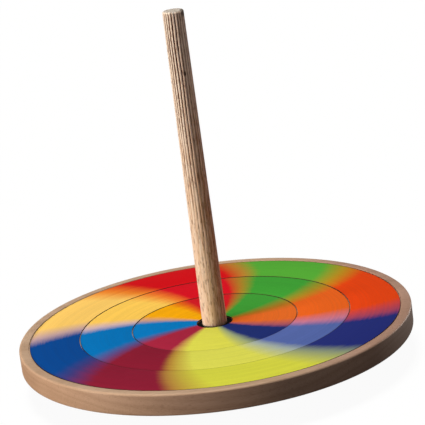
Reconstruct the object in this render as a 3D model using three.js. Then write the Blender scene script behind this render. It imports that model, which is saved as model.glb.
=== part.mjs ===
// A hand-twirled wooden colour top: a turned plate with a raised rim holds three loose printed
// rings, one inside the other, and a fluted stem runs through a black bush and the plate into a
// hub with a domed tip.
// Millimetres, +Z up along the spin axis, origin at the point of the tip.

import * as THREE from 'three';

// ---- Driving dimensions ----

const plateRadius = 100;
const plateHeight = 11.1;
const rimWidth = 5;
const rimRounding = 1.2;
const undersideHeight = 14;

const discThickness = 0.5;
const discClearance = 0.05;
const discGap = 0.35;
const largeDiscBelowRim = 0.2;
const seatStep = 0.15;
const recessPlay = 0.5;
const mediumDiscRadius = 68.8;
const smallDiscRadius = 42;
const discHoleRadius = 9.2;

const stemLength = 160.9;
const stemFootRadius = 6.26;
const stemTopRadius = 5.25;
const stemTopChamfer = 0.7;
const fluteCount = 22;
const fluteDepth = 0.45;
const fluteFadeHeight = 34;

const hubRadius = 23;
const hubTipRadius = 6.2;
const hubBaseHeight = 3.2;
const hubEdgeHeight = 2.5;
const stemSocketHeight = 6;

const bushRadius = 8.9;
const bushSeatDepth = 5;
const bushBelowDisc = 0.7;
const bushRounding = 0.4;

const tipHeadRadius = 4.4;
const tipPointRadius = 5.5;
const tipShankRadius = 1.6;
const tipShankLength = 14;

const fitGap = 0.3;

// ---- Heights and radii that follow from them ----

const rimTop = undersideHeight + plateHeight;
const largeDiscTop = rimTop - largeDiscBelowRim;
const mediumDiscTop = largeDiscTop - seatStep;
const smallDiscTop = mediumDiscTop - seatStep;
const discDrop = discThickness + discClearance;
const recessRadius = plateRadius - rimWidth;
const mediumSeatRadius = mediumDiscRadius + discGap / 2;
const smallSeatRadius = smallDiscRadius + discGap / 2;
const stemTop = rimTop + stemLength;
const stemBoreRadius = stemFootRadius + fitGap;
const bushFloor = smallDiscTop - discDrop - bushSeatDepth;
const bushTop = smallDiscTop - bushBelowDisc;
const tipShankTop = hubBaseHeight + tipShankLength;

// ---- Sides round each turned piece ----

const plateSides = 72;
const hubSides = 48;
const bushSides = 36;
const tipSides = 24;
const stemSides = fluteCount * 4;

// ---- Helpers ----

function point(radius, height) {
  return new THREE.Vector2(radius, height);
}

// Points of an arc round (radius, height), from one angle to another in degrees; 0 points outwards
// and 90 points up.
function arc(radius, height, size, fromDegrees, toDegrees, steps) {
  const points = [];
  for (let i = 0; i <= steps; i += 1) {
    const angle = THREE.MathUtils.degToRad(fromDegrees + ((toDegrees - fromDegrees) * i) / steps);
    points.push(point(radius + size * Math.cos(angle), height + size * Math.sin(angle)));
  }
  return points;
}

function turnedMesh(name, profile, sides, material) {
  const geometry = new THREE.LatheGeometry(profile, sides);
  geometry.rotateX(Math.PI / 2);
  const mesh = new THREE.Mesh(geometry, material);
  mesh.name = name;
  return mesh;
}

// ---- Materials ----

function finish(color, roughness, metalness = 0) {
  return new THREE.MeshStandardMaterial({ color, roughness, metalness });
}

const plateWood = finish(0xb98d63, 0.6);
const stemWood = finish(0xd6b48c, 0.65);
const hubWood = finish(0xc09468, 0.6);
const blackRubber = finish(0x0c0c0d, 0.7);
const tipSteel = finish(0xb8b8bc, 0.3, 1);
const largePrint = finish(0xc8441e, 0.45);
const mediumPrint = finish(0x3f9a3a, 0.45);
const smallPrint = finish(0xe8c23a, 0.45);

// ---- Plate: rim, a recess with a seat for each disc, a socket for the bush, a bore for the stem ----

function plate() {
  const r = rimRounding;
  const profile = [
    point(stemBoreRadius, undersideHeight),
    point(hubRadius + fitGap, undersideHeight),
    ...arc(plateRadius - r, undersideHeight + r, r, -90, 0, 3),
    ...arc(plateRadius - r, rimTop - r, r, 0, 90, 3),
    ...arc(recessRadius + r / 2, rimTop - r / 2, r / 2, 90, 180, 2),
    point(recessRadius, largeDiscTop - discDrop),
    point(mediumSeatRadius, largeDiscTop - discDrop),
    point(mediumSeatRadius, mediumDiscTop - discDrop),
    point(smallSeatRadius, mediumDiscTop - discDrop),
    point(smallSeatRadius, smallDiscTop - discDrop),
    point(bushRadius + fitGap, smallDiscTop - discDrop),
    point(bushRadius + fitGap, bushFloor),
    point(stemBoreRadius, bushFloor),
    point(stemBoreRadius, undersideHeight),
  ];
  return turnedMesh('plate', profile, plateSides, plateWood);
}

// ---- Hub: a boss under the plate whose side sweeps in to the tip ----

function hub() {
  const rise = undersideHeight - hubEdgeHeight - hubBaseHeight;
  const sweep = [];
  const sweepSteps = 7;
  for (let i = 0; i <= sweepSteps; i += 1) {
    const t = i / sweepSteps;
    const ease = t * t * (3 - 2 * t);
    const radius = THREE.MathUtils.lerp(hubTipRadius, hubRadius, 0.45 * t + 0.55 * ease);
    sweep.push(point(radius, hubBaseHeight + rise * t));
  }
  const profile = [
    point(tipShankRadius + fitGap, hubBaseHeight),
    ...sweep,
    point(hubRadius, undersideHeight),
    point(stemBoreRadius, undersideHeight),
    point(stemBoreRadius, stemSocketHeight),
    point(tipShankRadius + fitGap, stemSocketHeight),
    point(tipShankRadius + fitGap, hubBaseHeight),
  ];
  return turnedMesh('hub', profile, hubSides, hubWood);
}

// ---- Stem: a tapered rod whose flutes fade out towards the plate, drilled for the tip pin ----

function stemRadiusAt(height) {
  const t = THREE.MathUtils.clamp((height - rimTop) / stemLength, 0, 1);
  return THREE.MathUtils.lerp(stemFootRadius, stemTopRadius, t);
}

function fluteDepthAt(height) {
  const fadeStart = rimTop + fluteFadeHeight;
  const t = THREE.MathUtils.clamp((height - fadeStart) / (stemTop - fadeStart), 0, 1);
  return fluteDepth * Math.sqrt(t);
}

function stem() {
  const bottom = stemSocketHeight + fitGap;
  const drill = tipShankRadius + fitGap;
  const side = [];
  const sideSteps = 9;
  for (let i = 0; i <= sideSteps; i += 1) {
    const height = THREE.MathUtils.lerp(rimTop, stemTop - stemTopChamfer, i / sideSteps);
    side.push(point(stemRadiusAt(height), height));
  }
  const profile = [
    point(0, tipShankTop + fitGap),
    point(drill, tipShankTop + fitGap),
    point(drill, bottom),
    point(stemFootRadius, bottom),
    ...side,
    point(stemTopRadius - stemTopChamfer, stemTop),
    point(0, stemTop),
  ];
  const mesh = turnedMesh('stem', profile, stemSides, stemWood);
  const corners = mesh.geometry.attributes.position;
  for (let i = 0; i < corners.count; i += 1) {
    const x = corners.getX(i);
    const y = corners.getY(i);
    const height = corners.getZ(i);
    const outside = Math.hypot(x, y) > drill + fitGap && height < stemTop - stemTopChamfer / 2;
    if (outside) {
      const wave = (1 - Math.cos(fluteCount * Math.atan2(y, x))) / 2;
      const scale = 1 - (fluteDepthAt(height) * wave) / stemRadiusAt(height);
      corners.setXY(i, x * scale, y * scale);
    }
  }
  return mesh;
}

// ---- Bush: the black sleeve round the stem, a little below the small disc's top ----

function bush() {
  const profile = [
    point(stemBoreRadius, bushFloor),
    point(bushRadius, bushFloor),
    ...arc(bushRadius - bushRounding, bushTop - bushRounding, bushRounding, 0, 90, 2),
    point(stemBoreRadius, bushTop),
    point(stemBoreRadius, bushFloor),
  ];
  return turnedMesh('bush', profile, bushSides, blackRubber);
}

// ---- Tip pin: a domed head under the hub and a shank up into the stem ----

function tipPin() {
  const reach = Math.sqrt(tipPointRadius ** 2 - tipHeadRadius ** 2);
  const domeEnd = THREE.MathUtils.radToDeg(Math.atan2(-reach, tipHeadRadius));
  const profile = [
    ...arc(0, tipPointRadius, tipPointRadius, -90, domeEnd, 5),
    point(tipHeadRadius, hubBaseHeight),
    point(tipShankRadius, hubBaseHeight),
    point(tipShankRadius, tipShankTop),
    point(0, tipShankTop),
  ];
  return turnedMesh('tip_pin', profile, tipSides, tipSteel);
}

// ---- Discs: flat rings of printed card, nested one inside the other ----

function disc(name, holeRadius, radius, top, material) {
  const bottom = top - discThickness;
  const profile = [
    point(holeRadius, bottom),
    point(radius, bottom),
    point(radius, top),
    point(holeRadius, top),
    point(holeRadius, bottom),
  ];
  return turnedMesh(name, profile, plateSides, material);
}

// ---- Assembly ----

const fixedParts = new THREE.Group();
fixedParts.add(plate(), hub(), stem(), bush(), tipPin());

const largeDiscRadius = recessRadius - recessPlay;
const colourDiscs = new THREE.Group();
colourDiscs.add(
  disc('large_disc', mediumDiscRadius + discGap, largeDiscRadius, largeDiscTop, largePrint),
  disc('medium_disc', smallDiscRadius + discGap, mediumDiscRadius, mediumDiscTop, mediumPrint),
  disc('small_disc', discHoleRadius, smallDiscRadius, smallDiscTop, smallPrint),
);

const group = new THREE.Group();
group.add(fixedParts, colourDiscs);

export default group;
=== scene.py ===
"""A wooden colour top: fine turned pieces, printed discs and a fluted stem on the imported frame."""
import math

import bpy
from mathutils import Matrix, Vector, noise


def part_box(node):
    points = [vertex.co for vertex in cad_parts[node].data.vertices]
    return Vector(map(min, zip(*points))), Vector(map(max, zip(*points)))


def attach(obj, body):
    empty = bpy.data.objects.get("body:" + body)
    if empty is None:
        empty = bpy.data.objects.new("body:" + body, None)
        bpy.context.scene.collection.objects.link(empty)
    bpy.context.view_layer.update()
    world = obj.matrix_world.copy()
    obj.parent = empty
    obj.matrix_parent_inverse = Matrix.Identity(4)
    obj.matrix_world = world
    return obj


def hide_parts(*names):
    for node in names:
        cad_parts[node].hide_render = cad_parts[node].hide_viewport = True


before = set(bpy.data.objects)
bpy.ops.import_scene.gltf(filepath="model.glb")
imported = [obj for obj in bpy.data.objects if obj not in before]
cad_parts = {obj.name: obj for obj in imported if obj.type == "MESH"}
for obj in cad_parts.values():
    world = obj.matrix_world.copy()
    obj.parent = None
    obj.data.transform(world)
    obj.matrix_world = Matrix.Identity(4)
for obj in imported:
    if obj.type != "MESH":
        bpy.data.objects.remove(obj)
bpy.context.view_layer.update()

MM = 0.001

# ---- Places and sizes that come from the frame ----

plate_low, plate_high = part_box("plate")
hub_low, hub_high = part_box("hub")
stem_low, stem_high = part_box("stem")
bush_low, bush_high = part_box("bush")
tip_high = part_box("tip_pin")[1]

PLATE_RADIUS = plate_high.x
UNDERSIDE = plate_low.z
RIM_TOP = plate_high.z
STEM_TOP = stem_high.z
STEM_FOOT_RADIUS = stem_high.x
HUB_RADIUS = hub_high.x
BUSH_RADIUS = bush_high.x
DISCS = ("large_disc", "medium_disc", "small_disc")

# ---- Sizes inside the pieces that their boxes don't give ----

RIM_WIDTH = 5 * MM
RIM_ROUNDING = 1.2 * MM
DISC_HOLE_RADIUS = 9.2 * MM
STEM_TOP_RADIUS = 5.25 * MM
STEM_CHAMFER = 0.9 * MM
STEM_END_FLAT = 0.6 * STEM_TOP_RADIUS
FLUTES = 22
FLUTE_DEPTH = 0.42 * MM
FLUTE_TURN = math.radians(5.2)
FLUTE_NARROWNESS = 2.2
FLUTE_RUN_OUT = 1.4 * MM
FLUTE_CHIP = 0.05 * MM
HUB_TIP_RADIUS = 6.2 * MM
HUB_EDGE = 2.5 * MM
TIP_HEAD_RADIUS = 4.4 * MM
TIP_DOME_RADIUS = 5.5 * MM
TIP_SHANK_RADIUS = 1.6 * MM
GLUE_GAP = 0.3 * MM

RECESS_RADIUS = PLATE_RADIUS - RIM_WIDTH
DISC_GAP = 0.35 * MM
DISC_CLEARANCE = 0.05 * MM

# ---- Marks on the stem: (middle, reach on each axis) ----

KNOT = ((2.0 * MM, -5.0 * MM, 155 * MM), (0.8 * MM, 2.0 * MM, 1.9 * MM))
SCORCH = ((5.0 * MM, -1.5 * MM, STEM_TOP - 0.8 * MM), (2.4 * MM, 4.0 * MM, 3.4 * MM))

# ---- Printed colours, anticlockwise from +X at the radius that each disc is printed from ----
# (colour, degrees where it starts to blend, where the tint is, where the next colour begins, tint)

LARGE_PRINT = [
    ("#E14312", 29, 38, 47, "#B68C20"),
    ("#54A837", 74, 81, 88, "#B87E30"),
    ("#D11119", 119, 128, 138, "#EE852C"),
    ("#FCCB69", 165, 174, 181, "#C3A0A0"),
    ("#094792", 209, 216, 227, "#413A7B"),
    ("#8A1D34", 251, 255, 267, "#B2823C"),
    ("#D3D244", 297, 310, 316, "#85907A"),
    ("#242D74", 342, 347, 358, "#9E415D"),
]
MEDIUM_PRINT = [
    ("#E8621E", 21, 30, 40, "#AA8A23"),
    ("#3F9E36", 68, 75, 83, "#A98428"),
    ("#D61222", 111, 119, 130, "#EF7D2D"),
    ("#FBC959", 159, 167, 174, "#D0B1B4"),
    ("#0471B8", 203, 211, 218, "#5E4A86"),
    ("#891C32", 244, 248, 259, "#B58838"),
    ("#D9D655", 289, 301, 308, "#A3AEA6"),
    ("#5466A7", 334, 342, 354, "#C67791"),
]
SMALL_PRINT = [
    ("#E96C26", 8, 19, 35, "#B0741F"),
    ("#409D37", 62, 68, 76, "#99822D"),
    ("#D01923", 107, 114, 124, "#E26414"),
    ("#F3A709", 147, 155, 164, "#CB9A80"),
    ("#0575BC", 193, 201, 209, "#5F5085"),
    ("#A2243E", 235, 239, 248, "#BC7E4C"),
    ("#DAD650", 280, 292, 300, "#96A27C"),
    ("#212F71", 325, 331, 344, "#A95664"),
]
# (sectors, radius that their angles are given at, degrees that the pattern turns from the middle
# of the plate to its edge)
PRINTS = {
    "large_disc": (LARGE_PRINT, 0.835 * PLATE_RADIUS, 33),
    "medium_disc": (MEDIUM_PRINT, 0.571 * PLATE_RADIUS, 30),
    "small_disc": (SMALL_PRINT, 0.28 * PLATE_RADIUS, 23),
}


# ---- Mesh helpers ----

def arc(radius, height, size, start, end, steps):
    """Points of an arc round (radius, height); angles in degrees, 0 outwards and 90 up."""
    angles = [math.radians(start + (end - start) * i / steps) for i in range(steps + 1)]
    return [(radius + size * math.cos(a), height + size * math.sin(a)) for a in angles]


def turned(name, profile, sides, shape=None):
    """A solid of revolution about Z. shape(radius, height, angle) may move each point's radius."""
    closed = profile[0] == profile[-1]
    points = profile[:-1] if closed else profile
    verts, rings = [], []
    for radius, height in points:
        if radius == 0:
            rings.append([len(verts)])
            verts.append((0, 0, height))
            continue
        rings.append(list(range(len(verts), len(verts) + sides)))
        for i in range(sides):
            angle = 2 * math.pi * i / sides
            r = shape(radius, height, angle) if shape else radius
            verts.append((r * math.cos(angle), r * math.sin(angle), height))
    pairs = list(zip(rings, rings[1:]))
    if closed:
        pairs.append((rings[-1], rings[0]))
    faces = []
    for a, b in pairs:
        for i in range(sides):
            j = (i + 1) % sides
            if len(a) == 1:
                faces.append((a[0], b[j], b[i]))
            elif len(b) == 1:
                faces.append((a[i], a[j], b[0]))
            else:
                faces.append((a[i], a[j], b[j], b[i]))
    mesh = bpy.data.meshes.new(name)
    mesh.from_pydata(verts, [], faces)
    mesh.shade_smooth()
    mesh.set_sharp_from_angle(angle=math.radians(40))
    piece = bpy.data.objects.new(name, mesh)
    bpy.context.scene.collection.objects.link(piece)
    return piece


def settle(piece, node, body, slot, *materials):
    """Gives a piece its materials and its body, and hides the CAD node that it stands for; slot is
    not used.
    """
    for material in materials:
        piece.data.materials.append(material)
    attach(piece, body)
    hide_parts(node)
    return piece


# ---- Node helpers ----

def linear(code):
    """Linear RGBA of an #RRGGBB colour."""
    parts = [int(code[i:i + 2], 16) / 255 for i in (1, 3, 5)]
    return [c / 12.92 if c <= 0.04045 else ((c + 0.055) / 1.055) ** 2.4 for c in parts] + [1]


class Nodes:
    """A new material and short calls that add nodes to it and return their output sockets."""

    def __init__(self, name):
        self.material = bpy.data.materials.new(name)
        self.material.use_nodes = True
        self.tree = self.material.node_tree
        self.shader = self.tree.nodes["Principled BSDF"]

    def put(self, socket, value):
        if isinstance(value, bpy.types.NodeSocket):
            self.tree.links.new(value, socket)
        else:
            socket.default_value = value

    def add(self, kind, inputs=(), output=0, **settings):
        made = self.tree.nodes.new(kind)
        for key, value in settings.items():
            setattr(made, key, value)
        for key, value in dict(inputs).items():
            self.put(made.inputs[key], value)
        return made.outputs[output]

    def math(self, operation, a, b=0.0, c=0.0, clamp=False):
        inputs = {0: a, 1: b, 2: c}
        return self.add("ShaderNodeMath", inputs, operation=operation, use_clamp=clamp)

    def place(self, scale=(1, 1, 1)):
        """The point on the piece in its own frame, in metres, times a scale on each axis."""
        coordinates = self.add("ShaderNodeTexCoord", output="Object")
        return self.add("ShaderNodeMapping", {"Vector": coordinates, "Scale": scale})

    def axes(self):
        """The three coordinates of the point on the piece in its own frame, in metres."""
        split = self.tree.nodes.new("ShaderNodeSeparateXYZ")
        self.put(split.inputs[0], self.place())
        return split.outputs

    def from_axis(self, x, y):
        """The distance from the spin axis."""
        squares = [self.math("MULTIPLY", value, value) for value in (x, y)]
        return self.math("SQRT", self.math("ADD", *squares))

    def noise(self, vector, scale=1.0, detail=3.0, roughness=0.5, distortion=0.0):
        inputs = {"Vector": vector, "Scale": scale, "Detail": detail,
                  "Roughness": roughness, "Distortion": distortion}
        return self.add("ShaderNodeTexNoise", inputs)

    def span(self, value, low, high, to_low=0.0, to_high=1.0, smooth=True):
        """to_low at or before low, to_high at or past high, and in between on the way."""
        kind = "SMOOTHSTEP" if smooth else "LINEAR"
        inputs = {"Value": value, "From Min": low, "From Max": high,
                  "To Min": to_low, "To Max": to_high}
        return self.add("ShaderNodeMapRange", inputs, interpolation_type=kind)

    def spot(self, centre, size):
        """1 round a point of the piece, fading to 0 at the given size on each axis."""
        scale = [1 / s for s in size]
        coordinates = self.add("ShaderNodeTexCoord", output="Object")
        inputs = {"Vector": coordinates, "Scale": scale,
                  "Location": [-c * s for c, s in zip(centre, scale)]}
        away = self.add("ShaderNodeVectorMath", {0: self.add("ShaderNodeMapping", inputs)},
                        output="Value", operation="LENGTH")
        return self.span(away, 1.0, 0.4)

    def mix(self, factor, a, b, blend="MIX"):
        inputs = {0: factor, 6: a, 7: b}
        return self.add("ShaderNodeMix", inputs, output=2, data_type="RGBA", blend_type=blend)

    def ramp(self, value, stops):
        ramp = self.tree.nodes.new("ShaderNodeValToRGB")
        elements = ramp.color_ramp.elements
        while len(elements) > 1:
            elements.remove(elements[0])
        for i, (position, colour) in enumerate(stops):
            element = elements[0] if i == 0 else elements.new(position)
            element.position = position
            element.color = colour
        self.put(ramp.inputs[0], value)
        return ramp.outputs[0]

    def bump(self, height, distance, strength=1.0):
        inputs = {"Height": height, "Distance": distance, "Strength": strength}
        self.put(self.shader.inputs["Normal"], self.add("ShaderNodeBump", inputs))

    def finish(self, colour, roughness, specular=0.5, metallic=0.0):
        self.put(self.shader.inputs["Base Color"], colour)
        self.put(self.shader.inputs["Roughness"], roughness)
        self.put(self.shader.inputs["Specular IOR Level"], specular)
        self.put(self.shader.inputs["Metallic"], metallic)
        return self.material


# ---- Materials ----

def plate_wood(name, light, dark, fleck):
    """Pale close-grained wood, sawn along X, with rings, flecks and pores, and painted shade that
    makes it browner towards +X.
    """
    n = Nodes(name)
    wander = n.noise(n.place((9, 30, 30)), detail=2.0)
    across = n.add("ShaderNodeVectorMath", {0: n.place((0, 1, 1)), 1: (0, 0.035, 0.21)},
                   operation="ADD")
    depth = n.add("ShaderNodeVectorMath", {0: across}, output="Value", operation="LENGTH")
    rings = n.math("MULTIPLY_ADD", wander, 0.006, depth)
    ring_line = n.noise(n.add("ShaderNodeCombineXYZ", {0: rings}), scale=420.0, detail=2.0)
    fibre = n.noise(n.place((90, 2600, 2600)), detail=3.0, roughness=0.6)
    flecks = n.span(n.noise(n.place((260, 1900, 900)), detail=1.0), 0.62, 0.72)
    cloud = n.noise(n.place((14, 40, 40)), detail=2.0)
    tone = n.math("MULTIPLY_ADD", n.span(ring_line, 0.35, 0.7), 0.45,
                  n.math("MULTIPLY", n.span(fibre, 0.3, 0.7), 0.4))
    tone = n.math("MULTIPLY_ADD", n.span(cloud, 0.3, 0.7), 0.25, tone, clamp=True)
    colour = n.mix(tone, linear(light), linear(dark))
    colour = n.mix(n.math("MULTIPLY", flecks, 0.35), colour, linear(fleck))
    x, _, z = n.axes()
    on_top = n.span(z, RIM_TOP - RIM_ROUNDING, RIM_TOP - RIM_ROUNDING / 3)
    on_side = n.math("SUBTRACT", 1.0, on_top)
    # Painted shade: the top and the sides are multiplied by #DFD3DA and #CDCDD4 towards +X, the side
    # turned away from the left lamp.
    painted_top_shade = n.span(x, 0.2 * PLATE_RADIUS, 0.85 * PLATE_RADIUS)
    painted_side_shade = n.span(x, -0.85 * PLATE_RADIUS, 0.1 * PLATE_RADIUS)
    for brown, where, tint in ((painted_top_shade, on_top, "#DFD3DA"), (painted_side_shade, on_side, "#CDCDD4")):
        colour = n.mix(n.math("MULTIPLY", brown, where), colour, linear(tint), "MULTIPLY")
    n.bump(n.math("SUBTRACT", fibre, n.math("MULTIPLY", flecks, 0.4)), 0.05 * MM, 0.5)
    return n.finish(colour, n.span(fibre, 0.2, 0.8, 0.48, 0.66), specular=0.35)


def stem_wood():
    """A raw rod with long fibres, brown specks, dust and painted shade in the flutes, a knot and a
    scorched end.

    It has painted shade that makes it browner towards +X, and it is browner towards its foot.
    """
    n = Nodes("stem_fluted_wood")
    x, y, z = n.axes()
    outline = n.span(z, RIM_TOP, STEM_TOP, STEM_FOOT_RADIUS, STEM_TOP_RADIUS, smooth=False)
    depth = n.math("SUBTRACT", outline, n.from_axis(x, y))
    valley = n.span(depth, 0.2 * FLUTE_DEPTH, 0.65 * FLUTE_DEPTH)
    valley = n.math("MULTIPLY", valley, n.span(z, STEM_TOP - 0.5 * MM, STEM_TOP - 1.2 * MM))
    fibre = n.noise(n.place((1300, 1300, 85)), detail=4.0, roughness=0.65)
    streak = n.noise(n.place((600, 600, 35)), detail=3.0, roughness=0.6, distortion=0.4)
    speck = n.span(n.noise(n.place((1000, 1000, 260)), detail=2.0), 0.54, 0.68)
    # Painted shade: the +X side, away from the left lamp, is mixed towards browner colours, less so
    # near the top.
    painted_side_shade = n.span(x, -0.6 * STEM_FOOT_RADIUS, STEM_FOOT_RADIUS)
    painted_side_shade = n.math("MULTIPLY", painted_side_shade, n.span(z, 0.5 * STEM_TOP, STEM_TOP, 1.0, 0.5))
    pale = n.mix(painted_side_shade, linear("#FFF4E6"), linear("#FFD2B6"))
    brown = n.mix(painted_side_shade, linear("#E8CBB0"), linear("#AA7350"))
    tone = n.math("MULTIPLY_ADD", n.span(fibre, 0.44, 0.6), 0.7,
                  n.math("MULTIPLY", n.span(streak, 0.45, 0.65), 0.4))
    tone = n.math("ADD", tone, n.span(z, STEM_TOP, RIM_TOP, 0.0, 0.5))
    tone = n.math("MULTIPLY", tone, n.span(z, 0.5 * STEM_TOP, 0.9 * STEM_TOP, 1.0, 0.45))
    colour = n.mix(tone, pale, brown)
    colour = n.mix(n.math("MULTIPLY", speck, 0.5), colour, linear("#7A4E30"))
    # Dust and painted shade in the flute valleys: they are darkened towards #643012, less on the +X
    # side.
    dust = n.math("MULTIPLY", valley, n.span(fibre, 0.2, 0.6, 0.7, 1.0))
    dust = n.math("MULTIPLY", dust, n.span(x, 0, STEM_TOP_RADIUS, 1.0, 0.4))
    colour = n.mix(dust, colour, linear("#643012"))
    sawn = n.span(z, STEM_TOP - 0.45 * MM, STEM_TOP - 0.1 * MM)
    pores = n.noise(n.place((1500, 1500, 60)), detail=3.0, roughness=0.7)
    end_grain = n.mix(n.span(pores, 0.4, 0.6), linear("#E4DAD0"), linear("#9C8A7A"))
    colour = n.mix(sawn, colour, end_grain)
    for mark, strength, tint in ((KNOT, 0.85, "#3A1E10"), (SCORCH, 0.75, "#2E2620")):
        colour = n.mix(n.math("MULTIPLY", n.spot(*mark), strength), colour, linear(tint))
    n.bump(n.math("MULTIPLY_ADD", streak, 0.5, fibre), 0.12 * MM, 0.7)
    return n.finish(colour, n.span(fibre, 0.2, 0.8, 0.62, 0.82), specular=0.15)


def disc_print(name, radius, sectors, print_radius, swirl_degrees):
    """Eight colours that swirl round the disc and run into each other, under a satin film, with a
    painted shadow line along the outer edge.
    """
    n = Nodes(name)
    x, y, _ = n.axes()
    r = n.from_axis(x, y)
    turn = n.math("MULTIPLY", n.math("ARCTAN2", y, x), 1 / math.tau)
    swirl = swirl_degrees / 360 / PLATE_RADIUS
    turn = n.math("SUBTRACT", turn, n.math("MULTIPLY", n.math("SUBTRACT", r, print_radius), swirl))
    streaks = n.noise(n.add("ShaderNodeCombineXYZ", {0: r, 1: n.math("MULTIPLY", turn, 0.004)}),
                      scale=900.0, detail=3.0, roughness=0.6)
    turn = n.math("MULTIPLY_ADD", n.math("SUBTRACT", streaks, 0.5), 0.012, turn)
    stops = []
    for i, (colour, start, middle, end, tint) in enumerate(sectors):
        following = sectors[(i + 1) % len(sectors)][0]
        stops.append((start / 360, linear(colour)))
        stops.append((middle / 360, linear(tint)))
        stops.append((end / 360, linear(following)))
    first = linear(sectors[0][0])
    stops = [(0.0, first)] + [s for s in stops if 0 < s[0] < 1] + [(1.0, first)]
    colour = n.ramp(n.math("FRACT", n.math("ADD", turn, 1.0)), stops)
    grain = n.noise(n.place((1400, 1400, 1400)), detail=3.0, roughness=0.7)
    shade = n.math("MULTIPLY_ADD", n.span(streaks, 0.3, 0.7), 0.1, 0.935)
    shade = n.math("MULTIPLY", shade, n.span(grain, 0.3, 0.7, 0.97, 1.02))
    grey = n.add("ShaderNodeCombineXYZ", {0: shade, 1: shade, 2: shade})
    colour = n.mix(1.0, colour, grey, "MULTIPLY")
    # Painted shadow: a dark line in the last 0.3 mm of the outer edge, standing for the shaded gap
    # to the next disc.
    painted_edge_shadow = n.span(r, radius - 0.3 * MM, radius - 0.1 * MM)
    colour = n.mix(n.math("MULTIPLY", painted_edge_shadow, 0.75), colour, linear("#2A1A14"))
    n.bump(n.math("MULTIPLY_ADD", streaks, 0.3, grain), 0.02 * MM, 0.35)
    return n.finish(colour, n.span(streaks, 0.2, 0.8, 0.42, 0.56), specular=0.02)


def card_edge_painted_shade():
    """The cut edge and back of a printed card, painted dark brown so that its edges stand for the
    shade lines between the discs.
    """
    n = Nodes("card_edge_painted_shade")
    fibre = n.noise(n.place((900, 900, 5200)), detail=3.0, roughness=0.7)
    # Painted shade: these dark browns make every cut edge read as a shaded gap.
    colour = n.mix(n.span(fibre, 0.3, 0.7), linear("#5C4A3E"), linear("#3E3129"))
    n.bump(fibre, 0.03 * MM, 0.6)
    return n.finish(colour, n.span(fibre, 0.2, 0.8, 0.8, 0.95), specular=0.2)


def black_rubber():
    """Matt black rubber with a faint mould texture and a little dust."""
    n = Nodes("bush_rubber")
    mould = n.noise(n.place((2200, 2200, 2200)), detail=2.0)
    dust = n.span(n.noise(n.place((500, 500, 500)), detail=3.0), 0.6, 0.85)
    colour = n.mix(n.math("MULTIPLY", dust, 0.2), linear("#050505"), linear("#1C1A18"))
    n.bump(mould, 0.03 * MM, 0.4)
    return n.finish(colour, n.span(mould, 0.2, 0.8, 0.55, 0.75), specular=0.1)


def tip_steel():
    """Polished steel, with rings and scuffs where it runs on the table."""
    n = Nodes("tip_steel")
    rings = n.noise(n.place((60, 60, 9000)), detail=2.0)
    scuffs = n.noise(n.place((3000, 3000, 700)), detail=3.0, roughness=0.7)
    colour = n.mix(n.span(scuffs, 0.45, 0.8), linear("#C9C7C4"), linear("#86827D"))
    n.bump(n.math("MULTIPLY_ADD", rings, 0.5, scuffs), 0.015 * MM, 0.4)
    return n.finish(colour, n.span(scuffs, 0.2, 0.8, 0.22, 0.42), metallic=1.0)


# ---- Pieces ----

def make_plate(material):
    r = RIM_ROUNDING
    bore = STEM_FOOT_RADIUS + GLUE_GAP
    seat = bush_low.z
    inner = 0.35 * r
    floors = [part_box(disc)[0].z - DISC_CLEARANCE for disc in DISCS]
    medium_seat, small_seat = [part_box(disc)[1].x + DISC_GAP / 2 for disc in DISCS[1:]]
    profile = [
        (bore, UNDERSIDE),
        *arc(PLATE_RADIUS - r, UNDERSIDE + r, r, -90, 0, 8),
        *arc(PLATE_RADIUS - r, RIM_TOP - r, r, 0, 90, 8),
        *arc(RECESS_RADIUS + inner, RIM_TOP - inner, inner, 90, 180, 6),
        (RECESS_RADIUS, floors[0]),
        (medium_seat, floors[0]),
        (medium_seat, floors[1]),
        (small_seat, floors[1]),
        (small_seat, floors[2]),
        (BUSH_RADIUS + GLUE_GAP, floors[2]),
        (BUSH_RADIUS + GLUE_GAP, seat),
        (bore, seat),
        (bore, UNDERSIDE),
    ]
    piece = turned("plate_turned", profile, 256)
    return settle(piece, "plate", "top", "plate_wood", material)


def make_hub(material):
    base = hub_low.z
    rise = UNDERSIDE - HUB_EDGE - base
    steps = 28
    sweep = []
    for i in range(steps + 1):
        t = i / steps
        ease = t * t * (3 - 2 * t)
        radius = HUB_TIP_RADIUS + (HUB_RADIUS - HUB_TIP_RADIUS) * (0.45 * t + 0.55 * ease)
        sweep.append((radius, base + rise * t))
    round_edge = 0.8 * MM
    drill = TIP_SHANK_RADIUS + GLUE_GAP
    profile = [
        (drill, base),
        *sweep[:-1],
        *arc(HUB_RADIUS - round_edge, UNDERSIDE - HUB_EDGE + round_edge, round_edge, -50, 0, 5),
        (HUB_RADIUS, UNDERSIDE),
        (STEM_FOOT_RADIUS + GLUE_GAP, UNDERSIDE),
        (STEM_FOOT_RADIUS + GLUE_GAP, stem_low.z - GLUE_GAP),
        (drill, stem_low.z - GLUE_GAP),
        (drill, base),
    ]
    piece = turned("hub_turned", profile, 160)
    return settle(piece, "hub", "top", "hub_wood", material)


def stem_radius(height):
    t = min(max((height - RIM_TOP) / (STEM_TOP - RIM_TOP), 0), 1)
    return STEM_FOOT_RADIUS + (STEM_TOP_RADIUS - STEM_FOOT_RADIUS) * t


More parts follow.
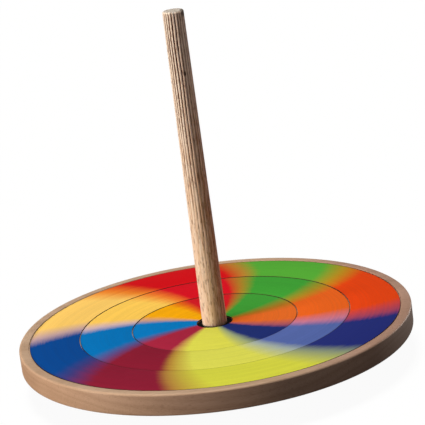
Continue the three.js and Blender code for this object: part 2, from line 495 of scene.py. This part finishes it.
def flute(radius, height, angle):
    """The stem's radius at a point: hand-cut flutes, deep at the top and fading towards the foot."""
    if radius < STEM_END_FLAT or height < RIM_TOP:
        return radius
    t = (height - RIM_TOP) / (STEM_TOP - RIM_TOP)
    fade = min(max((t - 0.04) / 0.86, 0), 1)
    along = Vector((math.cos(angle) * 1.1, math.sin(angle) * 1.1, height / (26 * MM)))
    drift = noise.noise(along * 1.3) * 0.055
    wave = ((1 - math.cos(FLUTES * (angle - FLUTE_TURN + drift))) / 2) ** FLUTE_NARROWNESS
    uneven = 1 + 0.35 * noise.noise(along * 2.7 + Vector((7, 3, 1)))
    chips = FLUTE_CHIP * noise.noise(Vector((angle * 9, 0, height / (2.2 * MM))))
    near_top = min(max((STEM_TOP - height) / FLUTE_RUN_OUT, 0), 1)
    depth = FLUTE_DEPTH * fade * uneven * wave * near_top ** 0.5
    return radius - depth - abs(chips) * (0.3 + fade)


def make_stem(material):
    drill = TIP_SHANK_RADIUS + GLUE_GAP
    steps = 150
    top_side = STEM_TOP - STEM_CHAMFER
    side = []
    for i in range(steps + 1):
        height = RIM_TOP + (top_side - RIM_TOP) * i / steps
        side.append((stem_radius(height), height))
    profile = [
        (0, tip_high.z + GLUE_GAP),
        (drill, tip_high.z + GLUE_GAP),
        (drill, stem_low.z),
        (STEM_FOOT_RADIUS, stem_low.z),
        *side,
        *arc(STEM_TOP_RADIUS - STEM_CHAMFER, top_side, STEM_CHAMFER, 0, 90, 6)[1:],
        (STEM_END_FLAT, STEM_TOP),
        (STEM_END_FLAT / 2, STEM_TOP),
        (0, STEM_TOP),
    ]
    piece = turned("stem_fluted", profile, FLUTES * 14, flute)
    return settle(piece, "stem", "top", "stem_wood", material)


def make_bush(material):
    edge = 0.4 * MM
    inside = STEM_FOOT_RADIUS + 0.04 * MM
    profile = [
        (inside, bush_low.z),
        (BUSH_RADIUS, bush_low.z),
        *arc(BUSH_RADIUS - edge, bush_high.z - edge, edge, 0, 90, 5),
        *arc(inside + edge, bush_high.z - edge, edge, 90, 180, 5),
        (inside, bush_low.z),
    ]
    piece = turned("bush_sleeve", profile, 96)
    return settle(piece, "bush", "top", "bush_rubber", material)


def make_tip(material):
    reach = math.sqrt(TIP_DOME_RADIUS ** 2 - TIP_HEAD_RADIUS ** 2)
    dome_end = math.degrees(math.atan2(-reach, TIP_HEAD_RADIUS))
    dome = arc(0, TIP_DOME_RADIUS, TIP_DOME_RADIUS, -90, dome_end, 14)
    profile = [
        (0, dome[0][1]),
        *dome[1:],
        (TIP_HEAD_RADIUS, hub_low.z),
        (TIP_SHANK_RADIUS, hub_low.z),
        (TIP_SHANK_RADIUS, tip_high.z),
        (0, tip_high.z),
    ]
    piece = turned("tip_dome", profile, 72)
    return settle(piece, "tip_pin", "top", "tip_steel", material)


def make_disc(node, hole_radius, core):
    low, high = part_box(node)
    edge = 0.06 * MM
    profile = [
        (hole_radius, low.z),
        *arc(high.x - edge, low.z + edge, edge, -90, 0, 3),
        *arc(high.x - edge, high.z - edge, edge, 0, 90, 3),
        *arc(hole_radius + edge, high.z - edge, edge, 90, 180, 3),
        (hole_radius, low.z),
    ]
    piece = turned(node + "_card", profile, 256)
    printed = disc_print(node + "_print", high.x, *PRINTS[node])
    settle(piece, node, node, node.replace("_disc", "_print"), core, printed)
    for face in piece.data.polygons:
        face.material_index = int(face.normal.z > 0.9)
    return piece


# ---- Stage, light and camera ----

def make_floor():
    """A wide pale floor that shows soft shadows and adds no light of its own to the object."""
    bpy.ops.mesh.primitive_circle_add(vertices=64, radius=14, fill_type="NGON")
    floor = bpy.context.object
    floor.name = "studio_floor"
    n = Nodes("studio_floor")
    tree = n.tree
    glow = n.add("ShaderNodeEmission", {"Color": (1, 1, 1, 1), "Strength": 0.95})
    paper = n.add("ShaderNodeBsdfDiffuse", {"Color": (0.05, 0.05, 0.05, 1)})
    lit = n.add("ShaderNodeAddShader", {0: glow, 1: paper})
    clear = n.add("ShaderNodeBsdfTransparent")
    below = n.add("ShaderNodeNewGeometry", output="Backfacing")
    seen = n.add("ShaderNodeMixShader", {0: below, 1: lit, 2: clear})
    tree.links.new(seen, tree.nodes["Material Output"].inputs["Surface"])
    tree.nodes.remove(n.shader)
    floor.data.materials.append(n.material)
    floor.visible_diffuse = False
    floor.visible_glossy = False


def make_sun(name, azimuth, elevation, energy, size, colour):
    """A soft far light: its direction, size in degrees and colour as the object sees it."""
    data = bpy.data.lights.new(name, "SUN")
    data.energy = energy
    data.angle = math.radians(size)
    data.color = colour
    lamp = bpy.data.objects.new(name, data)
    azimuth, elevation = math.radians(azimuth), math.radians(elevation)
    towards = Vector((math.cos(azimuth) * math.cos(elevation),
                      math.sin(azimuth) * math.cos(elevation), math.sin(elevation)))
    lamp.rotation_mode = "QUATERNION"
    lamp.rotation_quaternion = towards.to_track_quat("Z", "Y")
    bpy.context.scene.collection.objects.link(lamp)


def make_light():
    """A broad light overhead, low warm ones from the left, front and back, and a weak fill."""
    make_sun("overhead", 190, 86, 2.72, 20, (0.975, 1, 0.96))
    make_sun("left", 198, 3, 3.1, 11, (1, 0.84, 0.69))
    make_sun("front", 250, 3, 0.35, 20, (1, 0.88, 0.78))
    make_sun("back", 50, 1, 1.0, 3, (1, 0.95, 0.9))
    world = bpy.data.worlds.new("studio")
    bpy.context.scene.world = world
    world.use_nodes = True
    tree = world.node_tree
    fill = tree.nodes["Background"]
    fill.inputs["Color"].default_value = (1, 0.91, 0.92, 1)
    fill.inputs["Strength"].default_value = 0.1
    backdrop = tree.nodes.new("ShaderNodeBackground")
    backdrop.inputs["Strength"].default_value = 0.98
    path = tree.nodes.new("ShaderNodeLightPath")
    either = tree.nodes.new("ShaderNodeMixShader")
    tree.links.new(path.outputs["Is Camera Ray"], either.inputs[0])
    tree.links.new(fill.outputs[0], either.inputs[1])
    tree.links.new(backdrop.outputs[0], either.inputs[2])
    tree.links.new(either.outputs[0], tree.nodes["World Output"].inputs["Surface"])


def make_camera():
    """A long lens, 16 degrees above the plate, rolled so that the top leans to the left."""
    elevation, roll = math.radians(16.01), math.radians(-7.58)
    stem_in_view = Vector((math.sin(roll) * math.cos(elevation),
                           math.cos(roll) * math.cos(elevation), math.sin(elevation)))
    right = Vector((1, 0, 0))
    across = (right - stem_in_view * stem_in_view.x).normalized()
    away = stem_in_view.cross(across)
    to_world = Matrix((across, away, stem_in_view))
    # The middle of the plate's top as the camera sees it: right, up and towards the camera.
    rim_in_view = Vector((0.0103, -0.5478, -11.161)) * PLATE_RADIUS
    data = bpy.data.cameras.new("camera")
    data.lens = 186.35
    data.clip_start, data.clip_end = 0.05, 50
    camera = bpy.data.objects.new("camera", data)
    camera.matrix_world = to_world.to_4x4()
    camera.location = Vector((0, 0, RIM_TOP)) - to_world @ rim_in_view
    bpy.context.scene.collection.objects.link(camera)
    bpy.context.scene.camera = camera


# ---- Build ----

make_camera()
make_floor()
make_light()
bpy.context.scene.view_settings.view_transform = "Standard"

make_plate(plate_wood("plate_wood", "#CBAA8F", "#B08E72", "#90705A"))
make_hub(plate_wood("hub_wood", "#D0B096", "#B69478", "#90705A"))
make_stem(stem_wood())
make_bush(black_rubber())
make_tip(tip_steel())

core = card_edge_painted_shade()
holes = [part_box(disc)[1].x + DISC_GAP for disc in DISCS[1:]] + [DISC_HOLE_RADIUS]
for disc, hole_radius in zip(DISCS, holes):
    make_disc(disc, hole_radius, core)
